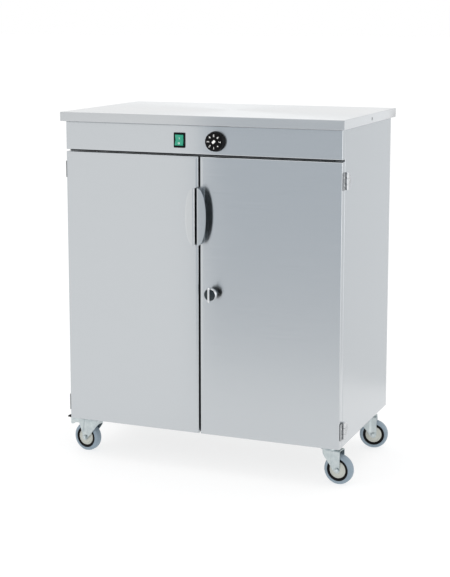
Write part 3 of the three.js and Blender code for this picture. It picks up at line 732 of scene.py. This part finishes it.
def handle(side):
    """A web that stands forward from the meeting edge, bent into a half-moon grip whose underside is painted
    brown-black: painted shade.
    """
    low, high = box(f"{side}_door_handle")
    sign = -1 if side == "left" else 1
    inner = min(abs(low.x), abs(high.x))
    reach, depth, middle = high.y - low.y, abs(high.x - low.x), (high.z + low.z) / 2
    half, bend, thick = (high.z - low.z) / 2, 3.5, 1.8
    arc = bend * pi / 2
    web = reach - bend

    def along(s):
        """The folded strip's outer face at a distance s from the door: (out from the gap, forward)."""
        if s < web:
            return 0.0, s
        if s < web + arc:
            t = (s - web) / bend
            return bend * (1 - cos(t)), web + bend * sin(t)
        return bend + s - web - arc, reach

    rows, columns = 56, 26
    rings = []
    for i in range(rows + 1):
        t = -pi / 2 + pi * i / rows
        grip = thick + (depth - thick) * max(cos(t), 0.0) ** 0.9
        full = web + arc + grip - bend if grip > bend else web + arc * (grip / bend)
        ring = []
        for k in range(columns + 1):
            out, forward = along(full * (k / columns))
            ring.append((sign * (inner + out), high.y - forward, middle + half * sin(t)))
        rings.append(ring)
    strip = loft(rings, closed=False)
    web_face = min(strip.faces, key=lambda f: abs(f.calc_center_median().x))
    flipped(strip, web_face.normal.x * sign > 0)
    # The strip's back, under the grip, takes the second material: painted shade.
    return softened(thickened(strip, thick, inner_slot=1), 0.35, angle=60)


def lock_hole(front):
    lock = pivot("lock_turn")
    return moved(rod(5.5, -24, 4, 32), at((lock.x, front, lock.z), "-Y"))


def seal(low, high, y_near, y_far):
    """A bulb gasket round the liner's edge, with a flat foot."""
    section = [(5, y_near), (16, y_near), (16, y_near + 0.3), (13.5, y_near + 0.4), (13, y_far - 0.25),
               (11.6, y_far), (9.4, y_far), (8, y_far - 0.25), (7.5, y_near + 0.4), (5, y_near + 0.3)]
    half_x, half_z = (high.x - low.x) / 2, (high.z - low.z) / 2
    middle = (high + low) / 2
    rings = [[(middle.x + a, y, middle.z + b) for a, b in rounded(half_x - inset, half_z - inset, 3, 4)]
             for inset, y in section]
    return loft(rings, wrap=True)


def left_door_lip():
    """A black strip along the left door's edge that closes the gap to the right door: a seal, which also
    stands in for painted shade in the gap.
    """
    low, high = box("left_door_skin")
    lip = block((high.x - 0.2, high.y - 3, low.z + 1), (high.x + 4.3, high.y - 1, high.z - 1), 0.5)
    piece("left_door_lip", lip, SEAL, "gasket", body="left_door")


def doors():
    for side in ("left", "right"):
        body = f"{side}_door"
        low, high = box(f"{side}_door_skin")
        skin = outer_skin(low, high, "-Y")
        liner_low, liner_high = box(f"{side}_door_liner")
        back = liner_high.y - liner_low.y
        liner = thickened(stamped(liner_low, liner_high, "+Y", [
            (0, back), (0, 0), (38, 0), (44, 3.2), (60, 3.2),
        ], corner=1.2), THIN_SHEET)
        if side == "right":
            skin, liner = cut(skin, lock_hole(low.y)), cut(liner, lock_hole(low.y))
        piece(f"{side}_door_panel", skin, STEEL, "brushed_steel", f"{side}_door_skin", body=body)
        piece(f"{side}_door_inside", liner, INNER_STEEL, "inner_steel", f"{side}_door_liner", body=body)
        near, far = box(f"{side}_door_gasket")
        gasket = seal(low, high, near.y, far.y)
        piece(f"{side}_door_seal", gasket, SEAL, "gasket", f"{side}_door_gasket", body=body)
        # Each grip's steel is painted lighter on the left and darker on the right: painted light and shade.
        piece(f"{side}_door_grip", handle(side), [GRIP_STEEL_PAINTED_LIGHT_AND_SHADE[side], GRIP_UNDERSIDE_PAINTED_SHADE], "brushed_steel",
              f"{side}_door_handle", body=body)


# ---- Hinges ----


def knuckle(low, high, radius, bore):
    soft = 0.4
    return lathe([(bore, low), (radius - soft, low), (radius, low + soft), (radius, high - soft),
                  (radius - soft, high), (bore, high)], 32)


HINGE_RADIUS = 3.8  # of the knuckles
HINGE_GAP = 0.3  # between the knuckles


def hinge_body_half(leaf, reach, half):
    """A half-round leaf with the end knuckles and the pin. leaf is its inner and outer X."""
    outline = [(0.6 + reach * cos(t), half * sin(t))
               for t in (pi * (k / 28 - 0.5) for k in range(29))]
    upright = Matrix(((0, 0, 1, 0), (1, 0, 0, 0), (0, 1, 0, 0), (0, 0, 0, 1)))
    half_round = moved(plate(outline, *leaf, 0.5), upright)
    inner = half / 3 + HINGE_GAP
    window = block((-9, -5, -inner), (9, HINGE_RADIUS + 0.6, inner))
    ends = [knuckle(a, b, HINGE_RADIUS, 0.01) for a, b in ((-half, -inner), (inner, half))]
    pin = rod(1.9, -half - 0.1, half + 0.1)
    screw_head = moved(screw(4.2, 1.5), at((leaf[1], 28, 0), "+X", 30))
    return together(cut(half_round, window), *ends, pin, screw_head)


def hinge_door_half(leaf, front, half):
    """A rectangular leaf with the middle knuckle, a third of the hinge high."""
    sheet = block((leaf[0], front, -half), (leaf[1], -0.4, half), 0.5)
    inner = half / 3 - HINGE_GAP
    ends = [block((-9, -HINGE_RADIUS - 0.6, s * inner), (9, 9, s * (half + 1))) for s in (-1, 1)]
    screws = [moved(screw(3.2, 1.2), at((leaf[1], front * 0.68, s * 9), "+X", 45 * s)) for s in (-1, 1)]
    # The door leaf takes the darker copy of the nickel, painted shade.
    shaded = painted(cut(sheet, *ends), 2)
    return together(shaded, knuckle(-inner, inner, HINGE_RADIUS, 2.2), *screws)


def hinges():
    """Two to a door, each made for the right-hand side and mirrored for the left."""
    for side, sign in SIDES:
        axis = pivot(f"{side}_door_swing")
        for level in ("upper", "lower"):
            name = f"{side}_{level}_hinge"
            low, high = box(f"{name}_body_leaf")
            front = box(f"{name}_door_leaf")[0].y - axis.y
            middle, half = (low.z + high.z) / 2, (high.z - low.z) / 2
            inside = (low.x if sign > 0 else -high.x) - axis.x * sign
            leaf = (inside, inside + 1.8)
            place = Matrix.Translation((axis.x, axis.y, middle)) @ Matrix.Diagonal((sign, 1, 1, 1))
            body_half = hinge_body_half(leaf, high.y - axis.y - 0.6, half)
            piece(f"{name}_on_side", moved(body_half, place), [NICKEL, RECESS_PAINTED_SHADE], "zinc", f"{name}_body_leaf")
            door_half = hinge_door_half(leaf, front, half)
            piece(f"{name}_on_door", moved(door_half, place), [NICKEL, RECESS_PAINTED_SHADE, SHADED_NICKEL], "zinc",
                  f"{name}_door_leaf", body=f"{side}_door")


# ---- Lock ----


def lock_knob():
    """A lathed knob with a fin across its face."""
    axis = pivot("lock_turn")
    disc, reach, fin, width = 16.3, 30, 39, 4.6
    knob = lathe([
        (0, 0.3), (11, 0.3), (11.2, 1.2), (9.4, 3), (9, 15), (9.6, 17.5), (disc - 0.8, 17.6), (disc, 18.6),
        (disc - 0.1, reach - 5.5), (disc - 1.6, reach - 2.6), (disc - 4.4, reach - 0.7), (0, reach),
    ], 96)
    half = fin / 2
    end = [(half - 1, reach - 6), (half, reach - 5), (half - 0.6, reach + 3.4), (half - 4, reach + 5.9)]
    outline = filleted([*((-x, h) for x, h in end), *reversed(end)], 1.5, 4)
    sides = [[(x, a, h) for a, h in outline] for x in (-width / 2, width / 2)]
    blade = softened(loft(sides, caps=True), 1.3, 4)
    # The face inside the rim takes the near black copy, a painted dark reflection; the rim and the side keep
    # the bright chrome.
    for face in knob.faces:
        face.material_index = 0 if face.calc_center_median().xy.length > disc - 1 else 1
    whole = moved(together(knob, blade, rod(4.6, -22, 1, 32)), at(axis, "-Y"))
    piece("lock_grip", whole, [CHROME, LOCK_FACE_PAINTED_REFLECTION], "dark_chrome", "lock_knob", body="lock")


def lock_cam():
    """A round-ended arm behind the door."""
    axis = pivot("lock_turn")
    low, high = box("lock_cam")
    end = 8
    far = high.z - axis.z - end
    outline = [(end * cos(t), far + end * sin(t)) for t in HALF_TURN]
    outline += [(-x, far - y) for x, y in outline]
    arm = plate(outline, 0, high.y - low.y, 0.35)
    piece("lock_arm", moved(arm, at((axis.x, high.y, axis.z), "-Y")), ZINC, "zinc", "lock_cam", body="lock")


# ---- Chamber ----


def heating_element():
    """A hairpin of sheathed rod that comes in through the back, on four feet."""
    low, high = box("heating_element")
    radius = 4
    z, back = high.z - radius, high.y
    half = [(120, back), (120, 60), (120, -40), (108, -78), (70, -92), (32, -78), (20, -40), (20, 60),
            (10, 96)]
    points = [*((-x, y, z) for x, y in half), (0, 100, z), *((x, y, z) for x, y in reversed(half))]
    hairpin = tube(smooth_path(points, 5), radius, 14)
    feet = [block((x - 2, y - 6, low.z), (x + 2, y + 6, z - 3), 0.4)
            for x, y in ((-120, 40), (120, 40), (-20, 20), (20, 20))]
    piece("heater_rod", together(hairpin, *feet), HEATER, "heater_sheath", "heating_element")


def heater_guard():
    low, high = box("heater_guard")
    section = filleted([(low.x, low.z), (low.x, high.z), (high.x, high.z), (high.x, low.z)], 3, 5)
    strip = facing_up(loft([[(x, y, z) for x, z in section] for y in (low.y, high.y)], closed=False))
    slots = [
        moved(plate(rounded(16, 3.5, 3.5, 5), -5, 5), at((52 * n, y, high.z)))
        for n in range(-3, 4) for y in (low.y + 15, low.y + 28, high.y - 28, high.y - 15)
    ]
    guard = softened(cut(thickened(strip, THIN_SHEET), *slots), 0.2, 1)
    piece("heater_cover", guard, INNER_STEEL, "inner_steel", "heater_guard")


def water_pan():
    """A deep-drawn pan: a rolled rim, tapered walls and a round-cornered bottom."""
    low, high = box("water_pan")
    centre, half_x, half_y = (low + high) / 2, (high.x - low.x) / 2, (high.y - low.y) / 2
    depth, rim = high.z - low.z, 8
    wall = filleted([(0, -2.2), (0, 0), (rim, 0), (rim + 3.5, -depth), (rim + 40, -depth)], 5, 6)
    rings = []
    for inset, height in wall:
        edge = rounded(half_x - inset, half_y - inset, max(22 - inset, 4), 8)
        rings.append([(centre.x + a, centre.y + b, high.z + height) for a, b in edge])
    pan = loft(rings)
    end_filled(pan, len(rings[0]))
    shell = thickened(facing_up(pan), 0.8)
    piece("water_pan_shell", shell, INNER_STEEL, "inner_steel", "water_pan")


def racks():
    """Ladder strips with keyhole slots, and an angle rail screwed on under each shelf."""
    levels = [box(f"{name}_shelf")[0].z - 0.3 for name in SHELVES]
    strips_at = (-130, 168)  # in Y
    for side, sign in SIDES:
        low, high = box(f"rack_{side}")
        wall = max(abs(low.x), abs(high.x))
        parts, screws = [], []
        for y in strips_at:
            slots = [moved(plate(rounded(1.8, 5, 1.8, 4), -6, 6), at((wall, y, z), "+X", 90))
                     for z in range(int(low.z) + 20, int(high.z) - 10, 25)]
            strip = block((wall - 3, y - 10, low.z), (wall, y + 10, high.z), 0.4)
            parts.append(cut(strip, *slots))
        for z in levels:
            section = filleted([(wall - 17, z - 0.75), (wall - 3.8, z - 0.75), (wall - 3.8, z - 14)], 1.5)
            rail = loft([[(x, y, h) for x, h in section] for y in (-150, 188)], closed=False)
            parts.append(modified(rail, "SOLIDIFY", thickness=1.5, offset=0))
            screws += [moved(screw(3), at((wall - 4.6, y, z - 8), "-X", 15)) for y in strips_at]
        whole = moved(together(*parts, *screws), Matrix.Diagonal((sign, 1, 1, 1)))
        piece(f"{side}_ladder", whole, [CHROME, RECESS_PAINTED_SHADE], "rack_chrome", f"rack_{side}")


def shelves():
    """Round-wire shelves: a bent frame with cross wires welded on top."""
    for name in SHELVES:
        low, high = box(f"{name}_shelf")
        thick, wire = 3.0, 1.5  # radii of the frame's and the cross wires' rods
        z, middle_y = low.z + thick, (high.y + low.y) / 2
        half_x, half_y = (high.x - low.x) / 2 - thick, (high.y - low.y) / 2 - thick
        rim = tube([(x, middle_y + y, z) for x, y in rounded(half_x, half_y, 14, 8)], thick, 12, closed=True)
        count, top = 15, high.z - wire
        across = [low.x + (n + 1) * (high.x - low.x) / (count + 1) for n in range(count)]
        wires = [tube([(x, low.y + 1.5, top), (x, high.y - 1.5, top)], wire, 10) for x in across]
        stays = [tube([(low.x + 4, middle_y + y, z + 0.6), (high.x - 4, middle_y + y, z + 0.6)], 2.2, 10)
                 for y in (-60, 60)]
        piece(f"{name}_wire_shelf", together(rim, *wires, *stays), CHROME, "rack_chrome", f"{name}_shelf")


def magnet_catch():
    low, high = box("magnet_catch")
    case = block(low, high, 0.8)
    groove = block((-3, low.y - 1, low.z - 1), (3, low.y + 3, high.z + 1))
    poles = [block((x - 9, low.y - 0.2, low.z + z), (x + 9, low.y + 4, low.z + z + 1.6), 0.2)
             for x in (-15.5, 15.5) for z in (3, 9.4)]
    whole = together(cut(case, groove), *(painted(p, 1) for p in poles))
    piece("catch_case", whole, [BLACK, ZINC], "black_plastic", "magnet_catch")


# ---- Casters ----

LEG_HALF = 15.3  # from the wheel's middle to the middle of a leg's sheet
LEG_SHEET = 2.2
AXLE_EYE = 8
FORK_TOP = 88
CROWN_TOP = 93.5


def fork_shell(trail, axle):
    """A pressed fork: a sheet folded round the front, beaded down each leg, that narrows to the axle."""
    front, back, bend, shoulder = -16, trail + AXLE_EYE, 9, 4
    bead_at, bead_half, bead_height = 14, 7, 2.4
    crown = 78  # where the legs end at the front
    plan = []
    for k in range(34):
        x = back + (front + bend - back) * k / 34
        across = min(abs(x - bead_at) / bead_half, 1)
        plan.append((x, -LEG_HALF - bead_height * cos(across * pi / 2) ** 2))
    plan += [(front + bend - bend * sin(t), -LEG_HALF + bend - bend * cos(t))
             for t in (pi / 2 * k / 8 for k in range(9))]
    plan.append((front, 0.0))
    plan += [(x, -y) for x, y in reversed(plan[:-1])]

    def lowest(x):
        eye = trail - 6.6
        if x > eye:
            return axle - sqrt(max(AXLE_EYE ** 2 - (x - trail) ** 2, 0))
        share = min(1.0, (eye - x) / (eye - front))
        return axle - 4.6 + (crown - axle + 4.6) * share

    rings = []
    rows = 8
    for k in range(rows + 1):
        ring = []
        for x, y in plan:
            bottom = lowest(x)
            ring.append((x, y, bottom + (FORK_TOP - shoulder - bottom) * k / rows))
        rings.append(ring)
    normals = []
    for a, b in zip([plan[0], *plan], [*plan[1:], plan[-1]]):
        along = (Vector(b) - Vector(a)).normalized()
        normals.append(Vector((along.y, -along.x)))
    for k in range(1, 5):
        t = pi / 2 * k / 4
        offset = shoulder * (1 - cos(t))
        rings.append([(x + n.x * offset * sign_in(n, x, y), y + n.y * offset * sign_in(n, x, y),
                       FORK_TOP - shoulder + shoulder * sin(t)) for (x, y), n in zip(plan, normals)])
    shell = loft(rings, closed=False)
    end_filled(shell, len(plan))
    return softened(thickened(facing_up(shell), LEG_SHEET), 0.4, angle=60)


def sign_in(normal, x, y):
    """1 if a plan normal points towards the fork's inside, else -1."""
    return 1 if normal.x * (8 - x) + normal.y * (-y) > 0 else -1


def caster(name):
    swivel, roll = pivot(f"{name}_swivel"), pivot(f"{name}_roll")
    away = (roll - swivel).xy
    trail, axle = away.length, roll.z
    stand = at((swivel.x, swivel.y, 0))
    turned = stand @ Matrix.Rotation(atan2(away.y, away.x), 4, "Z")
    mount(name, stand)
    press = f"{name}_brake_press"
    brake_x = (pivot(press) - swivel).xy.length if press in joints else None
    fork(name, turned, trail, axle, brake_x)
    wheel(name, turned @ at((trail, 0, axle), "-Y"), axle)
    if brake_x:
        brake(name, turned @ at((brake_x, 0, pivot(press).z)))


def mount(name, place):
    """The top plate, its bolts and the ball race."""
    top = box(f"{name}_caster_plate")[1].z
    sheet = plate(rounded(30, 30, 6, 6), top - 2.5, top, 0.4)
    race = lathe([(0, CROWN_TOP + 0.6), (17, CROWN_TOP + 0.6), (20.6, CROWN_TOP + 1.6), (21, CROWN_TOP + 3.6),
                  (19.6, CROWN_TOP + 4.6), (17.4, top - 2.6), (0, top - 2.4)], 48)
    bolts = [moved(hexagon(5, 3.4, washer=6.4), at((x, y, top - 2.5), "-Z", 17 * x + y))
             for x in (-22, 22) for y in (-22, 22)]
    piece(f"{name}_mount", moved(together(sheet, race, *bolts), place), ZINC, "zinc", f"{name}_caster_plate")


def fork(name, place, trail, axle, brake_x):
    """The fork, its crown, the axle bolt and, if it has a brake, an ear on each leg to carry it."""
    crown = lathe([(0, FORK_TOP - 1), (23.2, FORK_TOP - 1), (24, FORK_TOP), (23.8, FORK_TOP + 2.4),
                   (22.4, CROWN_TOP - 0.8), (21, CROWN_TOP), (0, CROWN_TOP)], 48)
    rivet = lathe([(0, FORK_TOP - 7), (5, FORK_TOP - 6.4), (7, FORK_TOP - 5), (7.4, FORK_TOP - 2),
                   (0, FORK_TOP - 2)], 24)
    outer = LEG_HALF + LEG_SHEET / 2
    ends = [moved(hexagon(5.4, 3.8, washer=6.6), at((trail, s * outer, axle), f"{f}Y"))
            for s, f in ((-1, "-"), (1, "+"))]
    pin = moved(rod(4, -outer, outer), at((trail, 0, axle), "-Y"))
    parts = [fork_shell(trail, axle), crown, rivet, *ends, pin]
    if brake_x:
        ear = filleted([(trail, 86), (trail + 7.5, 46), (brake_x + 1, 68), (brake_x + 5.5, 80),
                        (brake_x + 5.5, 86)], 3)
        for low, high in ((outer - LEG_SHEET, outer), (-outer, LEG_SHEET - outer)):
            parts.append(moved(plate(ear, low, high, 0.35), FACING["-Y"]))
    piece(f"{name}_fork_shell", moved(together(*parts), place), ZINC, "zinc", f"{name}_caster_fork",
          body=f"{name}_fork")


def wheel(name, place, radius):
    """A tyre on a black centre with a pale thread guard on each side."""
    r, rim, w = radius - 0.08, 28.4, 11.5
    tyre = lathe(both_ways([(rim, w - 0.5), (rim + 1.5, w), (r - 6, w), (r - 3, w - 0.9), (r - 1.2, w - 2.8),
                            (r - 0.2, w - 6), (r, w - 9)]), 96)
    piece(f"{name}_tread", moved(tyre, place), RUBBER, "grey_rubber", f"{name}_tyre", body=f"{name}_wheel")
    core = lathe(both_ways([(4.3, w + 2), (9, w + 2), (9.6, w - 0.4), (20, w - 2.6), (26, w - 2.6),
                            (27.8, w - 1.2), (28.2, w - 1.4)]), 72)
    discs = []
    for facing in ("+Z", "-Z"):
        disc = lathe([(5, 2.3), (8.6, 2.3), (10, 1.5), (12.5, 1.2), (16.2, 0.9), (16.6, 0.3), (17.2, 0.3),
                      (17.6, 0.8), (19, 0.3), (20.8, -0.9), (21.4, -2.2), (20, -2.4), (5, 0.6)], 72)
        discs.append(painted(moved(disc, FACING[facing] @ at((0, 0, w - 0.1))), 1))
    piece(f"{name}_hub", moved(together(core, *discs), place), [BLACK, GUARD], "black_plastic",
          f"{name}_wheel_centre", body=f"{name}_wheel")


def brake(name, place):
    """The brake's channel, which straddles the wheel, and the ribbed toe cover at its end."""
    length, toe, half, wall = 32, 43, 13.7, 1.4
    side = filleted([(-3.6, 2), (-3.6, -4), (2, -8.6), (16, -9), (length - 8, -14.5), (length, -15),
                     (length, 5)], 3)
    cheeks = [plate(side, a, b, 0.3) for a, b in ((-half, -half + wall), (half - wall, half))]
    roof = [(-3.6, 2), (length, 5), (length, 3.4), (-3.3, 0.5)]
    web = plate(roof, -half + wall * 0.5, half - wall * 0.5, 0.3)
    channel = moved(together(*cheeks, web, rod(3.4, -half, half, 20)), FACING["-Y"])
    crest = Vector((length + 2, 9.2))
    tread = filleted([(length - 8, 3.4), (length + 1, 1.6), (toe, 2.1), (toe, 4.6), tuple(crest),
                      (length - 8, 6.8)], 1.2)
    pad = plate(tread, -half, half, 0.5)
    fall = Vector((toe, 4.8)) - crest
    slope = Matrix.Rotation(atan2(fall.y, fall.x), 4, "Z")
    ribs = []
    for k in range(4):
        spot = crest + fall * (0.16 + 0.2 * k)
        rib = block((-0.5, -0.6, -half + 2), (0.5, 0.4, half - 2), 0.2)
        ribs.append(moved(rib, at((*spot, 0)) @ slope))
    cover = painted(moved(together(pad, *ribs), FACING["-Y"]), 1)
    piece(f"{name}_brake_lever", moved(together(channel, cover), place), [ZINC, BLACK], "zinc",
          f"{name}_brake_pedal", body=f"{name}_pedal")


# ---- Studio ----


def camera():
    """A camera right of the front. azimuth is its turn from square-on, tilt how far it looks down."""
    data = bpy.data.cameras.new("camera")
    data.lens = 85.87
    data.shift_y = -0.12
    data.clip_end = 100
    obj = in_scene("camera", data)
    azimuth, tilt = radians(22.009), radians(8.538)
    obj.location = Vector((1.3144, -3.2809, 1.1519)) + CENTRING * MM
    obj.rotation_euler = (pi / 2 - tilt, 0, azimuth)
    bpy.context.scene.camera = obj


def staged(name, half, look):
    """A flat square of the studio, in metres, about the origin."""
    bm = bmesh.new()
    bmesh.ops.create_grid(bm, x_segments=1, y_segments=1, size=half)
    obj = in_scene(name, mesh_of(bm, name))
    obj.data.materials.append(look)
    return obj


def floor():
    """A white floor that glows a little, as a lit table does, so that shadows on it stay pale."""
    staged("floor", 60, material("studio_floor", (0.33, 0.33, 0.33), 1.0, Emission_Color=(1, 1, 1, 1),
                                 Emission_Strength=0.715, Specular_IOR_Level=0.0))


def overhead():
    """A wide soft light over the cabinet, a little in front of it."""
    data = bpy.data.lights.new("overhead", "AREA")
    data.shape, data.size, data.size_y = "RECTANGLE", 3.0, 3.0
    data.energy = 14
    obj = in_scene("overhead", data)
    place, aim = Vector((0, -0.2, 3.4)), Vector((0, 0, 0.4))
    obj.location = place + CENTRING * MM
    obj.rotation_euler = (aim - place).to_track_quat("-Z", "Y").to_euler()
    obj.visible_camera = False


def reflector(name, location, size, top, bottom, turn=0):
    """An upright card, square-on to Y before its turn, that only reflections see. It glows from one
    colour down to another."""
    look = material(name, (0, 0, 0), 1.0, Emission_Strength=1.0, Specular_IOR_Level=0.0)
    place, axes = (look.node_tree.nodes.new(f"ShaderNode{kind}") for kind in ("TexCoord", "SeparateXYZ"))
    look.node_tree.links.new(place.outputs["Object"], axes.inputs["Vector"])
    height = ranged(look, axes.outputs["Y"], 0, 1, -0.5, -0.08)  # it changes over the card's lower part
    mix_colors(look, height, bottom, top, "Emission Color")
    obj = staged(name, 0.5, look)
    obj.location = Vector(location) + CENTRING * MM
    obj.rotation_euler = (pi / 2, 0, radians(turn))
    obj.scale = (*size, 1)
    for ray in ("camera", "diffuse", "transmission", "volume_scatter", "shadow"):
        setattr(obj, f"visible_{ray}", False)


def studio():
    world = bpy.data.worlds.new("studio")
    world.use_nodes = True
    background = world.node_tree.nodes["Background"]
    background.inputs["Color"].default_value = (1, 1, 1, 1)
    background.inputs["Strength"].default_value = 1.0
    bpy.context.scene.world = world
    bpy.context.scene.view_settings.view_transform = "Standard"
    overhead()


worktop()
side_panels()
back_cover()
fascia()
frame_seal()
carcass()
cable_gland()
switch()
rocker()
dial()
left_door_lip()
doors()
hinges()
lock_knob()
lock_cam()
heating_element()
heater_guard()
water_pan()
racks()
shelves()
magnet_catch()
for caster_name in ("front_left", "front_right", "rear_left", "rear_right"):
    caster(caster_name)
camera()
floor()
reflector("front_card", (0.28, -1.2, 0.65), (1.4, 1.3), (0.675, 0.715, 0.755), (0.81, 0.825, 0.84))
reflector("rear_card", (0.92, 0.72, 0.66), (1.0, 1.3), (0.87, 0.885, 0.90), (0.87, 0.88, 0.89))
reflector("left_card", (-2.6, -1.3, 1.0), (1.4, 2.0), (0.95, 0.96, 0.97), (0.95, 0.95, 0.96), turn=-68)
reflector("right_card", (2.5, -1.6, 1.1), (1.8, 2.2), (2.4, 2.4, 2.4), (2.0, 2.0, 2.0), turn=90)
studio()
